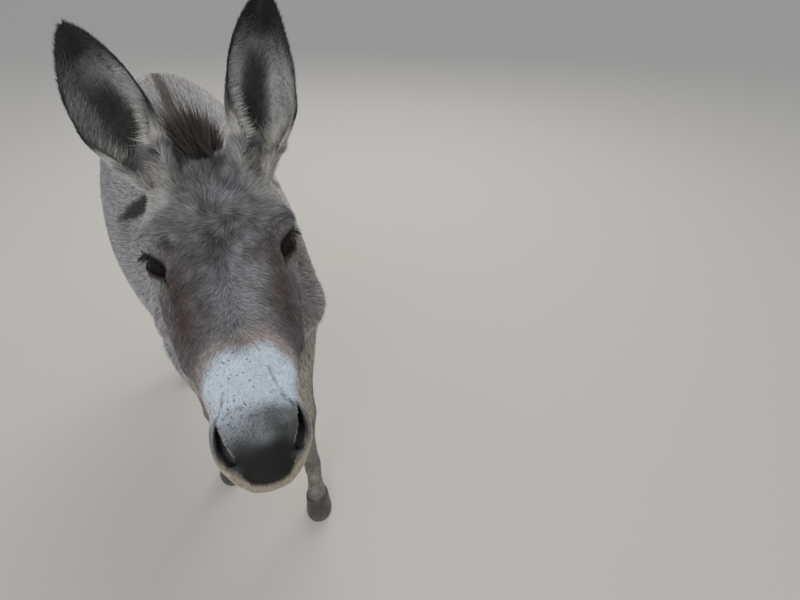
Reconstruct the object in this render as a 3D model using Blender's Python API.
"""A life-size donkey standing at rest with its neck stretched forward and its head up, as a museum model.

The flesh is one smooth body of "clay": lofts and ellipsoids melted together on a grid, turned into a
surface, thinned, and parted by thin cuts into head, neck, trunk, legs and tail.  Ears, eyes, hooves, mane
and tail tuft are lofted by themselves.  Metres, +Z up; the donkey faces -Y and its left side is at +X.
"""

import math

import bmesh
import bpy
import numpy as np
from mathutils import Matrix, Vector

# ---------------------------------------------------------------- driving sizes
GAP = 0.0003  # clearance between neighbouring solids
BODY_STEP = 0.0075  # grid step of the body's clay
HEAD_STEP = 0.0042  # grid step of the head's clay
BODY_TRIANGLES = 2900
HEAD_TRIANGLES = 2400

# The head has its own frame: x across, s along the face from the poll, v out of the forehead.
POLL_Y, POLL_Z = -0.614, 1.157  # the crown between the ears
FACE_PITCH = math.radians(19.5)  # how far the face line dips below level
NECK_TURN = math.radians(-8)  # the neck and head turn a little to the donkey's right
TURN_FROM_Y, TURN_TO_Y = -0.22, -0.57  # where the turn starts, behind, and is complete

CORONET_Z = 0.058  # top of a hoof
KNEE_CUT_Z, HOCK_CUT_Z = 0.335, 0.365  # upper and lower leg part here
ELBOW_CUT_Z, STIFLE_CUT_Z = 0.565, 0.610  # leg and trunk part here


# ---------------------------------------------------------------- clay
def smooth_rows(rows, at):
    """Values of a table of stations, read by a cubic through its rows, at the given places."""
    rows = np.array(rows, float)
    s, values = rows[:, 0], rows[:, 1:]
    slopes = np.gradient(values, s, axis=0)
    at = np.clip(at, s[0], s[-1])
    i = np.clip(np.searchsorted(s, at, side="right") - 1, 0, len(s) - 2)
    h = (s[i + 1] - s[i])[..., None]
    t = (at - s[i])[..., None] / h
    a, b = values[i], values[i + 1]
    cubic = (2 * t**3 - 3 * t**2 + 1) * a + (3 * t**2 - 2 * t**3) * b
    cubic += (t**3 - 2 * t**2 + t) * h * slopes[i] + (t**3 - t**2) * h * slopes[i + 1]
    return [cubic[..., k] for k in range(values.shape[1])]


def melt(a, b, soft):
    """The nearer of two distances, with the corner between them rounded over the width soft."""
    h = np.clip(0.5 + 0.5 * (b - a) / soft, 0, 1)
    return b + (a - b) * h - soft * h * (1 - h)


def egg(u, v, half_width, up, down, power_up, power_down, taper=0.0):
    """Distance outwards from an egg-shaped section, along the ray from its centre."""
    tall = np.where(v > 0, up, down)
    power = np.where(v > 0, power_up, power_down)
    width = half_width * (1 - taper * np.clip(-v / down, 0, 1))
    size = (np.abs(u / width) ** power + np.abs(v / tall) ** power) ** (1 / power)
    size = np.maximum(size, 1e-3)
    reach = np.sqrt(u * u + v * v)
    return reach - reach / size


def past_ends(distance, s, first, last):
    """Rounds a loft off where s runs past its first or last station."""
    over = np.maximum(first - s, 0) + np.maximum(s - last, 0)
    return np.where(over > 0, np.sqrt(np.maximum(distance, 0) ** 2 + over**2), distance)


def ellipsoid(p, centre, radii, tilt=0.0):
    """Distance from an ellipsoid, tilted about the cross axis by tilt radians."""
    x, y, z = p[0] - centre[0], p[1] - centre[1], p[2] - centre[2]
    if tilt:
        c, s = math.cos(tilt), math.sin(tilt)
        y, z = c * y + s * z, c * z - s * y
    near = np.sqrt((x / radii[0]) ** 2 + (y / radii[1]) ** 2 + (z / radii[2]) ** 2)
    slope = np.sqrt(
        (x / radii[0] ** 2) ** 2 + (y / radii[1] ** 2) ** 2 + (z / radii[2] ** 2) ** 2
    )
    return near * (near - 1) / np.maximum(slope, 1e-6)


def rod(p, start, end, r_start, r_end):
    """Distance from a round rod that tapers from r_start to r_end."""
    a, d = np.array(start), np.array(end) - np.array(start)
    t = sum((p[k] - a[k]) * d[k] for k in range(3)) / (d @ d)
    t = np.clip(t, 0, 1)
    away = np.sqrt(sum((p[k] - a[k] - t * d[k]) ** 2 for k in range(3)))
    return away - (r_start + (r_end - r_start) * t)


# ---------------------------------------------------------------- trunk
# y, top line, height of the widest place, under line, half width, roundness above and below
TRUNK = (
    (-0.505, 0.790, 0.705, 0.640, 0.060, 2.0, 2.0),
    (-0.470, 0.850, 0.705, 0.585, 0.112, 2.0, 2.0),
    (-0.400, 0.925, 0.705, 0.545, 0.146, 1.8, 2.1),
    (-0.300, 0.992, 0.705, 0.532, 0.170, 1.5, 2.2),
    (-0.200, 0.990, 0.697, 0.518, 0.197, 1.6, 2.2),
    (-0.080, 0.966, 0.685, 0.498, 0.224, 1.9, 2.1),
    (0.050, 0.958, 0.678, 0.486, 0.236, 2.1, 2.1),
    (0.160, 0.974, 0.695, 0.499, 0.233, 2.2, 2.1),
    (0.260, 1.002, 0.730, 0.532, 0.216, 2.1, 2.1),
    (0.350, 1.011, 0.770, 0.582, 0.194, 2.0, 2.1),
    (0.440, 0.982, 0.790, 0.640, 0.160, 2.0, 2.2),
    (0.500, 0.925, 0.800, 0.690, 0.115, 2.0, 2.2),
    (0.535, 0.875, 0.800, 0.730, 0.060, 2.0, 2.0),
)


def trunk(p):
    y = p[1]
    top, wide, bottom, half, above, below = smooth_rows(TRUNK, y)
    d = egg(p[0], p[2] - wide, half, top - wide, wide - bottom, above, below)
    return past_ends(d, y, TRUNK[0][0], TRUNK[-1][0])


# ---------------------------------------------------------------- neck
NECK_START = np.array((0.0, -0.26, 0.780))
NECK_END = np.array((0.0, -0.59, 1.062))
# along the neck, crest above the axis, throat below it, half width
NECK = (
    (0.00, 0.235, 0.200, 0.130),
    (0.10, 0.182, 0.184, 0.108),
    (0.20, 0.142, 0.146, 0.088),
    (0.30, 0.116, 0.112, 0.075),
    (0.38, 0.101, 0.092, 0.067),
    (0.44, 0.088, 0.080, 0.062),
)


def neck(p):
    axis = NECK_END - NECK_START
    axis = axis / np.linalg.norm(axis)
    dy, dz = p[1] - NECK_START[1], p[2] - NECK_START[2]
    s = dy * axis[1] + dz * axis[2]
    v = dy * axis[2] - dz * axis[1]
    up, down, half = smooth_rows(NECK, s)
    d = egg(p[0], v, half, up, down, 1.7, 2.1)
    return past_ends(d, s, NECK[0][0], NECK[-1][0])


# ---------------------------------------------------------------- head
# along the face, forehead line, widest place, jaw line, half width, narrowing towards the jaw
HEAD = (
    (-0.025, -0.045, -0.070, -0.100, 0.030, 0.10),
    (0.000, -0.002, -0.062, -0.135, 0.057, 0.15),
    (0.040, 0.010, -0.055, -0.172, 0.074, 0.25),
    (0.090, 0.014, -0.050, -0.198, 0.083, 0.35),
    (0.140, 0.011, -0.048, -0.200, 0.087, 0.40),
    (0.180, 0.006, -0.046, -0.190, 0.086, 0.42),
    (0.230, 0.001, -0.046, -0.167, 0.080, 0.44),
    (0.280, -0.003, -0.048, -0.145, 0.074, 0.44),
    (0.330, -0.005, -0.050, -0.131, 0.063, 0.38),
    (0.375, -0.008, -0.054, -0.127, 0.0515, 0.26),
    (0.412, -0.017, -0.060, -0.124, 0.046, 0.15),
    (0.442, -0.034, -0.068, -0.112, 0.037, 0.10),
    (0.457, -0.054, -0.074, -0.098, 0.022, 0.10),
)
EYE = (0.0725, 0.156, -0.040)  # centre of an eyeball in the head's frame
EYE_RADIUS = 0.0215
MOUTH_DEPTH = 0.0065
EAR_ROOT = (0.058, 0.026, -0.012)  # where an ear leaves the skull, in the head's frame


def to_head(p):
    """World points in the head's frame: across, along the face, out of the forehead."""
    c, s = math.cos(FACE_PITCH), math.sin(FACE_PITCH)
    dy, dz = p[1] - POLL_Y, p[2] - POLL_Z
    return p[0], -c * dy - s * dz, -s * dy + c * dz


def head_point(x, along, out):
    """A place in the head's frame as a world point, before the neck's turn."""
    c, s = math.cos(FACE_PITCH), math.sin(FACE_PITCH)
    return Vector((x, POLL_Y - c * along - s * out, POLL_Z - s * along + c * out))


def head(p):
    x, s, v = to_head(p)
    top, wide, bottom, half, taper = smooth_rows(HEAD, s)
    d = egg(x, v - wide, half, top - wide, wide - bottom, 2.5, 2.0, taper)
    d = past_ends(d, s, HEAD[0][0], HEAD[-1][0])
    q = (np.abs(x), s, v)
    cheek = ellipsoid(q, (0.050, 0.100, -0.112), (0.026, 0.074, 0.078), 0.15)
    d = melt(d, cheek, 0.022)
    brow = ellipsoid(q, (0.076, 0.132, -0.022), (0.027, 0.036, 0.024), 0.10)
    d = melt(d, brow, 0.020)
    under_eye = rod(q, (0.078, 0.172, -0.058), (0.061, 0.300, -0.056), 0.017, 0.012)
    d = melt(d, under_eye, 0.022)
    temple = ellipsoid(q, (0.052, 0.095, -0.018), (0.032, 0.060, 0.028))
    d = melt(d, temple, 0.025)
    ear_base = rod(q, (0.040, 0.040, -0.050), (0.058, 0.004, 0.010), 0.034, 0.026)
    d = melt(d, ear_base, 0.020)
    nostril_wing = ellipsoid(q, (0.038, 0.412, -0.052), (0.019, 0.034, 0.027), -0.35)
    d = melt(d, nostril_wing, 0.014)
    upper_lip = ellipsoid(q, (0.0, 0.436, -0.080), (0.042, 0.029, 0.033), -0.30)
    d = melt(d, upper_lip, 0.016)
    chin = ellipsoid(q, (0.0, 0.414, -0.118), (0.033, 0.042, 0.019), 0.10)
    d = melt(d, chin, 0.010)
    # hollows: the opening between the eyelids, the nostrils and the line of the mouth
    lids = ellipsoid(q, (0.097, 0.171, -0.019), (0.019, 0.024, 0.0165), 0.10)
    d = -melt(-d, lids, 0.004)
    nostril = ellipsoid(q, (0.0445, 0.423, -0.034), (0.0090, 0.0240, 0.0120), -0.40)
    d = -melt(-d, nostril, 0.005)
    away_from_lips = v + 0.101 + 0.10 * (s - 0.420)
    bowl = np.sqrt(away_from_lips**2 + 0.006**2) - 0.006
    depth = MOUTH_DEPTH * np.clip((s - 0.360) / 0.025, 0, 1)
    return np.maximum(d, (d + depth - 1.6 * bowl) / 1.6)


# ---------------------------------------------------------------- legs
# height, centre y, half width across, half length along, for a leg that stands straight
FORELEG = (
    (0.040, -0.378, 0.030, 0.036),
    (0.058, -0.374, 0.029, 0.035),
    (0.080, -0.364, 0.0235, 0.0275),
    (0.105, -0.352, 0.0225, 0.0275),
    (0.130, -0.343, 0.0255, 0.0330),
    (0.160, -0.338, 0.0215, 0.0290),
    (0.220, -0.336, 0.0195, 0.0265),
    (0.275, -0.334, 0.0250, 0.0290),
    (0.310, -0.333, 0.0320, 0.0350),
    (0.345, -0.331, 0.0310, 0.0350),
    (0.390, -0.326, 0.0290, 0.0370),
    (0.460, -0.320, 0.0350, 0.0500),
    (0.540, -0.316, 0.0450, 0.0660),
    (0.620, -0.318, 0.0520, 0.0820),
)
HINDLEG = (
    (0.040, 0.380, 0.030, 0.036),
    (0.058, 0.384, 0.029, 0.035),
    (0.080, 0.394, 0.0235, 0.0275),
    (0.105, 0.406, 0.0225, 0.0275),
    (0.135, 0.418, 0.0255, 0.0330),
    (0.170, 0.424, 0.0215, 0.0290),
    (0.240, 0.432, 0.0200, 0.0270),
    (0.310, 0.441, 0.0225, 0.0310),
    (0.360, 0.449, 0.0275, 0.0400),
    (0.405, 0.451, 0.0290, 0.0450),
    (0.450, 0.430, 0.0300, 0.0460),
    (0.510, 0.395, 0.0400, 0.0620),
    (0.590, 0.356, 0.0560, 0.0980),
    (0.670, 0.336, 0.0640, 0.1250),
)
FORELEG_X, HINDLEG_X = 0.104, 0.112  # half the distance between the left and right feet
SHOULDER_X, HIP_X = 0.114, 0.122  # the same at the top of the leg
# how far each foot stands ahead of where a straight leg would put it
STEP = {"left_fore": 0.060, "right_fore": -0.180, "left_hind": -0.050, "right_hind": 0.110}


def leg_line(z, name):
    """Centre (x, y shift) of a leg at height z: it leans from its top to its foot."""
    side = 1 if name.startswith("left") else -1
    fore = name.endswith("fore")
    top = ELBOW_CUT_Z if fore else STIFLE_CUT_Z
    low = np.clip(1 - z / top, 0, 1)
    foot_x, top_x = (FORELEG_X, SHOULDER_X) if fore else (HINDLEG_X, HIP_X)
    return side * (top_x + (foot_x - top_x) * low), -STEP[name] * low


def leg(p, name):
    rows = FORELEG if name.endswith("fore") else HINDLEG
    z = p[2]
    y, across, along = smooth_rows(rows, z)
    x, shift = leg_line(z, name)
    d = egg(p[0] - x, p[1] - y - shift, across, along, along, 2.2, 2.0)
    d = past_ends(d, z, rows[0][0], rows[-1][0])
    q = (p[0] - x, p[1] - shift, p[2])
    if name.endswith("fore"):
        knee = ellipsoid(q, (0.0, -0.345, 0.318), (0.026, 0.024, 0.034))
        pisiform = ellipsoid(q, (0.0, -0.306, 0.335), (0.012, 0.018, 0.020))
        return melt(melt(d, knee, 0.012), pisiform, 0.012)
    point_of_hock = rod(q, (0.0, 0.486, 0.428), (0.0, 0.462, 0.372), 0.0125, 0.016)
    tendon = rod(q, (0.0, 0.484, 0.432), (0.0, 0.435, 0.560), 0.009, 0.014)
    return melt(melt(d, point_of_hock, 0.014), tendon, 0.022)


# ---------------------------------------------------------------- big muscles
def muscles(p):
    """The masses that join legs and neck to the trunk, the same on both sides."""
    q = (np.abs(p[0]), p[1], p[2])
    shoulder = rod(q, (0.074, -0.250, 0.890), (0.112, -0.410, 0.700), 0.052, 0.060)
    upper_arm = rod(q, (0.112, -0.410, 0.690), (0.116, -0.300, 0.610), 0.058, 0.056)
    elbow = ellipsoid(q, (0.116, -0.268, 0.590), (0.036, 0.050, 0.055))
    breast = ellipsoid(q, (0.050, -0.440, 0.660), (0.062, 0.062, 0.095))
    thigh = ellipsoid(q, (0.112, 0.380, 0.735), (0.072, 0.125, 0.180), -0.12)
    stifle = ellipsoid(q, (0.128, 0.262, 0.632), (0.048, 0.066, 0.080))
    buttock = ellipsoid(q, (0.076, 0.455, 0.800), (0.062, 0.070, 0.120))
    hip_bone = ellipsoid(q, (0.132, 0.250, 0.880), (0.044, 0.060, 0.044))
    gaskin = ellipsoid(q, (0.122, 0.372, 0.560), (0.044, 0.066, 0.090), -0.50)
    d = melt(shoulder, upper_arm, 0.05)
    for muscle in (elbow, breast, thigh, stifle, buttock, hip_bone, gaskin):
        d = melt(d, muscle, 0.04)
    return d


# ---------------------------------------------------------------- tail
DOCK = ((0.0, 0.500, 0.905), (0.0, 0.545, 0.880), (0.0, 0.566, 0.800), (0.0, 0.570, 0.660))
DOCK_RADII = (0.034, 0.026, 0.021, 0.016)


def dock(p):
    """The fleshy part of the tail, a chain of tapering rods."""
    d = None
    for i in range(len(DOCK) - 1):
        part = rod(p, DOCK[i], DOCK[i + 1], DOCK_RADII[i], DOCK_RADII[i + 1])
        d = part if d is None else melt(d, part, 0.02)
    return d


def body_clay(p):
    d = melt(trunk(p), neck(p), 0.060)
    d = melt(d, muscles(p), 0.030)
    for name in STEP:
        d = melt(d, leg(p, name), 0.030)
    d = melt(d, dock(p), 0.022)
    return melt(d, head(p), 0.026)


# ---------------------------------------------------------------- from clay to a surface
FILL = 0.0002  # how deep inside a filled grid corner counts
EDGES = [(a, b) for a in range(8) for b in range(a + 1, 8) if bin(a ^ b).count("1") == 1]


def corner(k):
    return np.array(((k >> 2) & 1, (k >> 1) & 1, k & 1))


def fill_diagonals(field):
    """Fills grid corners where the surface would touch itself along an edge, until none is left."""
    found = True
    while found:
        found = False
        for axis in range(3):
            level = np.moveaxis(field, axis, 2)
            inside = level < 0
            a, b, c, d = inside[:-1, :-1], inside[1:, 1:], inside[1:, :-1], inside[:-1, 1:]
            i, j, k = np.nonzero(a & b & ~c & ~d)
            near = level[i + 1, j, k] < level[i, j + 1, k]
            level[np.where(near, i + 1, i), np.where(near, j, j + 1), k] = -FILL
            found = found or len(i) > 0
            i, j, k = np.nonzero(~a & ~b & c & d)
            near = level[i, j, k] < level[i + 1, j + 1, k]
            level[np.where(near, i, i + 1), np.where(near, j, j + 1), k] = -FILL
            found = found or len(i) > 0


def surface_net(shape, low, high, step):
    """Points and quads of the zero surface of shape(p) in a box: one point in each cell that it crosses."""
    axes = [np.arange(low[k], high[k] + step, step) for k in range(3)]
    p = (axes[0][:, None, None], axes[1][None, :, None], axes[2][None, None, :])
    field = np.broadcast_to(shape(p), [len(a) for a in axes]).astype(np.float32)
    fill_diagonals(field)
    inside = field < 0
    count = sum(
        inside[k[0] : k[0] + n[0], k[1] : k[1] + n[1], k[2] : k[2] + n[2]].astype(np.int8)
        for k in map(corner, range(8))
        for n in [np.array(field.shape) - 1]
    )
    cells = np.argwhere((count > 0) & (count < 8))
    total, crossings = np.zeros((len(cells), 3)), np.zeros(len(cells))
    for a, b in EDGES:
        fa = field[tuple((cells + corner(a)).T)].astype(float)
        fb = field[tuple((cells + corner(b)).T)].astype(float)
        crossed = (fa < 0) != (fb < 0)
        t = np.where(crossed, fa / np.where(crossed, fa - fb, 1), 0)
        place = corner(a) + t[:, None] * (corner(b) - corner(a))
        total += place * crossed[:, None]
        crossings += crossed
    points = np.array(low) + step * (cells + total / crossings[:, None])
    index = np.full(np.array(field.shape) - 1, -1, np.int64)
    index[tuple(cells.T)] = np.arange(len(cells))
    quads = []
    for axis in range(3):
        one, two = np.eye(3, dtype=int)[(axis + 1) % 3], np.eye(3, dtype=int)[(axis + 2) % 3]
        ahead = np.eye(3, dtype=int)[axis]
        first = inside[tuple(slice(0, n - ahead[k]) for k, n in enumerate(field.shape))]
        second = inside[tuple(slice(ahead[k], n) for k, n in enumerate(field.shape))]
        for leaving in (True, False):
            at = np.argwhere((first & ~second) if leaving else (~first & second))
            ring = [at, at - one, at - one - two, at - two]
            ring = ring if leaving else ring[::-1]
            quads.append(np.stack([index[tuple(r.T)] for r in ring], axis=1))
    return points, np.concatenate(quads)


def turned(points):
    """Turns what lies ahead of the withers about an upright axis there, more the further ahead it is."""
    share = np.clip((points[:, 1] - TURN_FROM_Y) / (TURN_TO_Y - TURN_FROM_Y), 0, 1)
    angle = NECK_TURN * share * share * (3 - 2 * share)
    c, s = np.cos(angle), np.sin(angle)
    x, y = points[:, 0], points[:, 1] - TURN_FROM_Y
    return np.stack((c * x - s * y, s * x + c * y + TURN_FROM_Y, points[:, 2]), axis=1)


# ---------------------------------------------------------------- Blender objects
def material(name, colour, roughness):
    made = bpy.data.materials.new(name)
    made.use_nodes = True
    shader = made.node_tree.nodes["Principled BSDF"]
    shader.inputs["Base Color"].default_value = (*colour, 1)
    shader.inputs["Roughness"].default_value = roughness
    shader.inputs["Metallic"].default_value = 0.0
    return made


def mesh_object(name, points, faces, finish=None):
    data = bpy.data.meshes.new(name)
    data.from_pydata([tuple(map(float, q)) for q in points], [], [tuple(map(int, f)) for f in faces])
    data.validate()
    made = bpy.data.objects.new(name, data)
    bpy.context.scene.collection.objects.link(made)
    if finish:
        data.materials.append(finish)
    data.shade_smooth()
    return made


def evaluated_copy(source, name, finish=None):
    """A new object holding source as its modifiers leave it."""
    graph = bpy.context.evaluated_depsgraph_get()
    data = bpy.data.meshes.new_from_object(source.evaluated_get(graph))
    made = bpy.data.objects.new(name, data)
    bpy.context.scene.collection.objects.link(made)
    data.materials.clear()
    if finish:
        data.materials.append(finish)
    return made


def helper(made):
    """Marks a cutter or a guide, which isn't part of the model."""
    made.hide_render = True
    made.display_type = "WIRE"
    return made


def thinned(source, triangles):
    """source with about this many triangles."""
    faces = 2 * len(source.data.polygons)
    even = source.modifiers.new("Even", "SMOOTH")
    even.factor, even.iterations = 0.5, 3
    reduce = source.modifiers.new("Thin", "DECIMATE")
    reduce.ratio = triangles / faces
    reduce.use_collapse_triangulate = True
    made = evaluated_copy(source, source.name + "_thin")
    bpy.data.objects.remove(source)
    return helper(made)


def box(name, low, high):
    data = bpy.data.meshes.new(name)
    made = bpy.data.objects.new(name, data)
    bpy.context.scene.collection.objects.link(made)
    shape = bmesh.new()
    size, middle = Vector(high) - Vector(low), (Vector(high) + Vector(low)) / 2
    place = Matrix.Translation(middle) @ Matrix.Diagonal((*size, 1))
    bmesh.ops.create_cube(shape, size=1, matrix=place)
    shape.to_mesh(data)
    shape.free()
    return helper(made)


def carve(target, cutter, operation):
    cut = target.modifiers.new(cutter.name, "BOOLEAN")
    cut.operation = operation
    cut.object = cutter
    cut.solver = "EXACT"
    cut.use_self = True


def halfspace(name, point, normal, reach=3.0):
    """A big box whose one face lies on the plane through point, on the side that normal points to."""
    made = box(name, (-reach, -reach, 0), (reach, reach, reach))
    turn = Vector((0, 0, 1)).rotation_difference(Vector(normal).normalized())
    made.data.transform(Matrix.Translation(Vector(point)) @ turn.to_matrix().to_4x4())
    return made


def swollen(source, name, by=GAP):
    """A helper copy of source with its surface moved outwards by this much."""
    made = evaluated_copy(source, name)
    shape = bmesh.new()
    shape.from_mesh(made.data)
    shape.normal_update()
    for vertex in shape.verts:
        vertex.co += vertex.normal * by * min(vertex.calc_shell_factor(), 2)
    shape.to_mesh(made.data)
    shape.free()
    return helper(made)


def loft(name, rings, finish=None):
    """A closed body through rings of points, its two ends capped with fans."""
    shape = bmesh.new()
    rows = [[shape.verts.new(q) for q in ring] for ring in rings]
    for low, high in zip(rows, rows[1:]):
        for k in range(len(low)):
            n = (k + 1) % len(low)
            shape.faces.new((low[k], low[n], high[n], high[k]))
    for row, flip in ((rows[0], True), (rows[-1], False)):
        shape.faces.new(row[::-1] if flip else row)
    bmesh.ops.recalc_face_normals(shape, faces=shape.faces)
    data = bpy.data.meshes.new(name)
    shape.to_mesh(data)
    shape.free()
    made = bpy.data.objects.new(name, data)
    bpy.context.scene.collection.objects.link(made)
    if finish:
        data.materials.append(finish)
    data.shade_smooth()
    return made


def ring(centre, across, along, sides, power=2.0):
    """An upright-axis ring: across in x, along = (forward, backward) in y."""
    points = []
    for k in range(sides):
        a = 2 * math.pi * k / sides
        x, y = math.sin(a), -math.cos(a)
        size = (abs(x) ** power + abs(y) ** power) ** (-1 / power)
        reach = along[0] if y < 0 else along[1]
        points.append(Vector(centre) + Vector((across * x * size, reach * y * size, 0)))
    return points


# ---------------------------------------------------------------- ears
# from root to tip, and the way the cup faces, of each ear
EAR_AXES = {1: Vector((0.062, 0.150, 0.190)), -1: Vector((-0.089, 0.172, 0.158))}
EAR_OPENINGS = {1: Vector((0.28, -0.75, 0.60)), -1: Vector((-0.22, -0.75, 0.60))}
EAR_LENGTH = 0.262  # from inside the skull to the tip
# share of the length, half width, half angle of the roll in degrees, thickness
EAR = (
    (0.00, 0.030, 150, 0.0090),
    (0.10, 0.035, 138, 0.0080),
    (0.20, 0.042, 118, 0.0070),
    (0.32, 0.0490, 98, 0.0060),
    (0.45, 0.0520, 84, 0.0055),
    (0.58, 0.0510, 74, 0.0050),
    (0.70, 0.0455, 66, 0.0048),
    (0.81, 0.0360, 58, 0.0046),
    (0.90, 0.0255, 52, 0.0044),
    (0.96, 0.0145, 48, 0.0042),
    (1.00, 0.0055, 46, 0.0040),
)
EAR_ROWS, EAR_COLUMNS = 13, 9


def ear(name, side, finish):
    """A rolled leaf: a tube at the root that opens into a pointed cup."""
    axis = EAR_AXES[side].normalized()
    opening = EAR_OPENINGS[side]
    opening = (opening - opening.project(axis)).normalized()
    lateral = axis.cross(opening)
    root = head_point(side * EAR_ROOT[0], EAR_ROOT[1], EAR_ROOT[2]) - axis * 0.012
    rings = []
    for i in range(EAR_ROWS):
        t = 1 - (1 - i / (EAR_ROWS - 1)) ** 1.25
        half, roll, thick = (float(v) for v in smooth_rows(EAR, np.array(t)))
        roll = math.radians(roll)
        radius = half / math.sin(min(roll, math.pi / 2))
        middle = root + axis * (EAR_LENGTH * t) + opening * 0.020 * t * t
        outer, inner = [], []
        for k in range(EAR_COLUMNS):
            a = roll * (2 * k / (EAR_COLUMNS - 1) - 1)
            rim = 1 - 0.45 * abs(a / roll) ** 4
            out = lateral * math.sin(a) - opening * math.cos(a)
            outer.append(middle + opening * radius + out * radius)
            inner.append(middle + opening * radius + out * (radius - thick * rim))
        rings.append(outer + inner[::-1])
    return loft(name, rings, finish)


# ---------------------------------------------------------------- hooves
CORONET_TILT = 0.26  # the top of a hoof falls this much per unit towards its heel
HOOF_SIDES = 18


def hoof_centre(name):
    rows = FORELEG if name.endswith("fore") else HINDLEG
    x, shift = leg_line(np.array(CORONET_Z), name)
    y = smooth_rows(rows, np.array(CORONET_Z))[0]
    return float(x), float(y + shift)


def hoof(name, finish):
    """A narrow upright hoof: flat sole, sloping toe, top parallel to the cut above it."""
    x, y = hoof_centre(name)
    # height, shift back, half width, toe and heel reach, share of the coronet's tilt
    rows = (
        (0.000, -0.0110, 0.0325, 0.0400, 0.0395, 0.0),
        (0.003, -0.0100, 0.0342, 0.0418, 0.0405, 0.0),
        (0.022, -0.0050, 0.0332, 0.0395, 0.0380, 0.35),
        (0.040, -0.0015, 0.0318, 0.0368, 0.0360, 0.70),
        (CORONET_Z - GAP, 0.0, 0.0304, 0.0345, 0.0345, 1.0),
    )
    rings = []
    for z, back, half, toe, heel, tilt in rows:
        points = ring((x, y + back, z), half, (toe, heel), HOOF_SIDES, 2.2)
        for q in points:
            q.z -= tilt * CORONET_TILT * (q.y - y)
        rings.append(points)
    return loft("hoof_" + name, rings, finish)


# ---------------------------------------------------------------- mane and tail tuft
# y, height of the crest, height above it, half thickness, lean forward
MANE = (
    (-0.655, 1.152, 0.030, 0.020, 0.018),
    (-0.632, 1.157, 0.064, 0.026, 0.020),
    (-0.600, 1.161, 0.076, 0.025, 0.012),
    (-0.560, 1.156, 0.073, 0.021, 0.004),
    (-0.505, 1.132, 0.066, 0.018, 0.000),
    (-0.440, 1.096, 0.060, 0.017, 0.000),
    (-0.375, 1.058, 0.052, 0.016, 0.000),
    (-0.310, 1.020, 0.038, 0.014, 0.000),
    (-0.262, 0.998, 0.018, 0.010, 0.000),
)
MANE_ROOT = 0.035  # how far the ridge starts below the crest, before the neck is cut from it


def mane(finish):
    rings = []
    for y, crest, height, half, lean in MANE:
        points = []
        for k in range(12):
            a = 2 * math.pi * k / 12
            up = 0.5 + 0.5 * math.cos(a)
            z = crest - MANE_ROOT + (height + MANE_ROOT) * up
            width = half * (1 - 0.55 * up)
            points.append((width * math.sin(a) * 1.25, y - lean * up, z))
        rings.append(points)
    return loft("mane", rings, finish)


# height, centre y, half width, half depth
TUFT = (
    (0.715, 0.569, 0.0185, 0.0185),
    (0.690, 0.570, 0.0260, 0.0250),
    (0.640, 0.571, 0.0330, 0.0300),
    (0.570, 0.570, 0.0370, 0.0320),
    (0.500, 0.568, 0.0350, 0.0290),
    (0.430, 0.566, 0.0270, 0.0220),
    (0.375, 0.564, 0.0160, 0.0130),
    (0.345, 0.563, 0.0050, 0.0045),
)


def tail_tuft(finish):
    rings = [ring((0, y, z), half, (deep, deep), 12) for z, y, half, deep in TUFT[::-1]]
    return loft("tail_tuft", rings, finish)


# ---------------------------------------------------------------- the cuts
BODY_LOW, BODY_HIGH = (-0.30, -0.69, 0.030), (0.30, 0.64, 1.22)
HEAD_LOW, HEAD_HIGH = (-0.16, -1.10, 0.840), (0.16, -0.47, 1.25)
HEAD_CUT_POINT, HEAD_CUT_NORMAL = (0.0, -0.582, 1.05), (0.0, -0.960, 0.080)
NECK_CUT_POINT, NECK_CUT_NORMAL = (0.0, -0.385, 0.870), (0.0, -0.740, 0.670)
TAIL_LOW, TAIL_HIGH = (-0.050, 0.5385, 0.600), (0.050, 0.700, 0.990)


def headless_clay(p):
    """The clay of the body, closed by a flat well ahead of the head's cut."""
    return np.maximum(body_clay(p), BODY_LOW[1] + 0.02 - p[1])


def head_clay(p):
    """The clay of head and neck's end, closed by a flat well behind the head's cut."""
    x, y, z = p
    return np.maximum(melt(neck(p), head(p), 0.026), y - (HEAD_HIGH[1] - 0.02))


def bend(made):
    """Turns the points of an object with the neck."""
    count = len(made.data.vertices)
    points = np.empty(count * 3)
    made.data.vertices.foreach_get("co", points)
    points = turned(points.reshape(-1, 3))
    made.data.vertices.foreach_set("co", points.reshape(-1))
    made.data.update()


def ball(name, centre, radius):
    data = bpy.data.meshes.new(name)
    shape = bmesh.new()
    place = Matrix.Translation(centre)
    bmesh.ops.create_uvsphere(shape, u_segments=14, v_segments=9, radius=radius, matrix=place)
    shape.to_mesh(data)
    shape.free()
    made = bpy.data.objects.new(name, data)
    bpy.context.scene.collection.objects.link(made)
    data.shade_smooth()
    return made


def named(work, name, finish):
    """The finished solid of a work object, which stays as a helper."""
    made = evaluated_copy(work, name, finish)
    made.data.shade_smooth()
    made.name = name
    helper(work)
    return made


def centre_on_floor():
    """Moves the whole model so that its box stands centred on the floor's origin."""
    pieces = list(bpy.data.objects)
    corners = [v.co for made in pieces for v in made.data.vertices]
    low = Vector([min(q[k] for q in corners) for k in range(3)])
    high = Vector([max(q[k] for q in corners) for k in range(3)])
    shift = Vector((-(low.x + high.x) / 2, -(low.y + high.y) / 2, -low.z))
    print("moved by", [round(v, 4) for v in shift])
    for made in pieces:
        made.data.transform(Matrix.Translation(shift))


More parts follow.
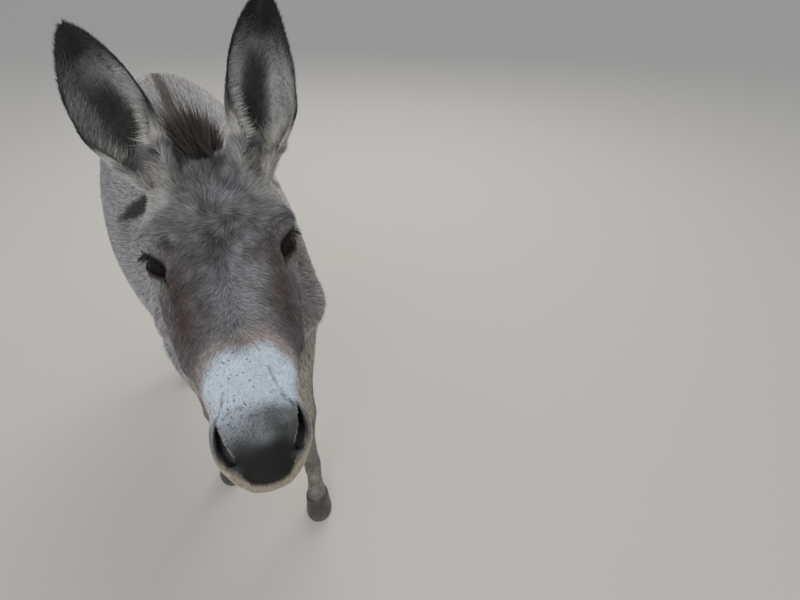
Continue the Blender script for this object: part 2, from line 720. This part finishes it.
def leg_wedge(name, low, shrink):
    """The space of one leg from the height low up to its slanted root cut."""
    side = 1 if name.startswith("left") else -1
    fore = name.endswith("fore")
    z0, outward, back = (0.506, 0.600, -0.30) if fore else (0.538, 0.466, 0.40)
    x0, y0 = (0.060, -0.330) if fore else (0.050, 0.300)
    y_low, y_high = (-0.60, -0.215) if fore else (0.165, 0.70)
    lift = -shrink * math.sqrt(1 + outward * outward + back * back)
    corner_low, corner_high = (0.010 + shrink, y_low + shrink, low), (0.40, y_high - shrink, 1)
    made = box("wedge_" + name, corner_low, corner_high)
    middle = (y_low + y_high) / 2
    for vertex in made.data.vertices:
        if vertex.co.z < 0.9:
            vertex.co.y += math.copysign(0.5 * (0.5 - low), vertex.co.y - middle)
        else:
            vertex.co.z = z0 + outward * (vertex.co.x - x0) + back * (vertex.co.y - y0) + lift
        vertex.co.x *= side
    if side < 0:
        made.data.flip_normals()
    return made


def build():
    for old in list(bpy.data.objects):
        bpy.data.objects.remove(old)

    coat = (0.42, 0.39, 0.37)
    finish = {
        "trunk": material("coat_trunk", coat, 0.9),
        "neck": material("coat_neck", coat, 0.9),
        "head": material("coat_head", (0.47, 0.44, 0.42), 0.9),
        "tail": material("coat_tail", coat, 0.9),
        "tail_tuft": material("hair_tail", (0.06, 0.05, 0.045), 0.85),
        "mane": material("hair_mane", (0.09, 0.06, 0.05), 0.85),
    }

    body = mesh_object("body_clay", *surface_net(headless_clay, BODY_LOW, BODY_HIGH, BODY_STEP))
    head_part = mesh_object("head_clay", *surface_net(head_clay, HEAD_LOW, HEAD_HIGH, HEAD_STEP))
    body = thinned(body, BODY_TRIANGLES)
    head_part = thinned(head_part, HEAD_TRIANGLES)
    bend(body)
    bend(head_part)

    # head
    turn = Matrix.Rotation(NECK_TURN, 3, "Z")
    pivot = Vector((0, TURN_FROM_Y, 0))
    cut_point = turn @ (Vector(HEAD_CUT_POINT) - pivot) + pivot
    cut_normal = (turn @ Vector(HEAD_CUT_NORMAL)).normalized()
    behind = halfspace("behind_head", cut_point, -cut_normal)
    ahead = halfspace("ahead_of_neck", cut_point - cut_normal * GAP, cut_normal)
    carve(head_part, behind, "DIFFERENCE")
    eyes = []
    for name, side in (("eye_left", 1), ("eye_right", -1)):
        eye = ball(name, head_point(side * EYE[0], EYE[1], EYE[2]), EYE_RADIUS)
        eye.data.materials.append(material(name, (0.02, 0.015, 0.012), 0.12))
        bend(eye)
        eyes.append(eye)
        carve(head_part, swollen(eye, "socket_" + name), "DIFFERENCE")
    named(head_part, "head", finish["head"])

    # neck, trunk and tail
    neck_normal = Vector(NECK_CUT_NORMAL).normalized()
    neck_low = halfspace("behind_neck", NECK_CUT_POINT, -neck_normal)
    neck_high = halfspace("ahead_of_trunk", Vector(NECK_CUT_POINT) - neck_normal * GAP, neck_normal)
    tail_space = box("tail_space", TAIL_LOW, TAIL_HIGH)
    tail_gap = box("tail_gap", Vector(TAIL_LOW) - Vector((GAP,) * 3), Vector(TAIL_HIGH))
    neck_part = evaluated_copy(body, "neck_work")
    carve(neck_part, neck_low, "DIFFERENCE")
    carve(neck_part, ahead, "DIFFERENCE")
    named(neck_part, "neck", finish["neck"])
    trunk_part = evaluated_copy(body, "trunk_work")
    carve(trunk_part, neck_high, "DIFFERENCE")
    carve(trunk_part, tail_gap, "DIFFERENCE")
    tail_part = evaluated_copy(body, "tail_work")
    carve(tail_part, tail_space, "INTERSECT")
    tail = named(tail_part, "tail", finish["tail"])

    # legs
    for name in STEP:
        fore = name.endswith("fore")
        carve(trunk_part, leg_wedge(name, -0.5, 0.0), "DIFFERENCE")
        joint = KNEE_CUT_Z if fore else HOCK_CUT_Z
        upper = evaluated_copy(body, "upper_work_" + name)
        carve(upper, leg_wedge(name, joint, GAP), "INTERSECT")
        named(upper, "leg_upper_" + name, material("coat_leg_upper_" + name, coat, 0.9))
        lower = evaluated_copy(body, "lower_work_" + name)
        carve(lower, leg_wedge(name, -0.5, GAP), "INTERSECT")
        above = halfspace("above_" + name, (0, 0, joint - GAP), (0, 0, 1))
        carve(lower, above, "DIFFERENCE")
        x, y = hoof_centre(name)
        sole_side = Vector((0, -CORONET_TILT, -1)).normalized()
        carve(lower, halfspace("below_" + name, (x, y, CORONET_Z), sole_side), "DIFFERENCE")
        named(lower, "leg_lower_" + name, material("coat_leg_lower_" + name, coat, 0.9))
        hoof(name, material("horn_hoof_" + name, (0.09, 0.085, 0.085), 0.55))
    trunk_done = named(trunk_part, "trunk", finish["trunk"])

    # ears, mane and tail tuft, each cut by what it grows on
    head_done = bpy.data.objects["head"]
    around_head = swollen(head_done, "around_head")
    around_neck = swollen(bpy.data.objects["neck"], "around_neck")
    around_trunk = swollen(trunk_done, "around_trunk")
    for name, side in (("ear_left", 1), ("ear_right", -1)):
        made = ear(name + "_work", side, None)
        bend(made)
        carve(made, around_head, "DIFFERENCE")
        named(made, name, material("coat_" + name, (0.30, 0.27, 0.25), 0.9))
    crest = mane(None)
    crest.name = "mane_work"
    bend(crest)
    for around in (around_head, around_neck, around_trunk):
        carve(crest, around, "DIFFERENCE")
    named(crest, "mane", finish["mane"])
    tuft = tail_tuft(None)
    tuft.name = "tuft_work"
    carve(tuft, swollen(tail, "around_tail"), "DIFFERENCE")
    named(tuft, "tail_tuft", finish["tail_tuft"])

    for made in list(bpy.data.objects):
        if made.hide_render:
            bpy.data.objects.remove(made)
    centre_on_floor()


build()
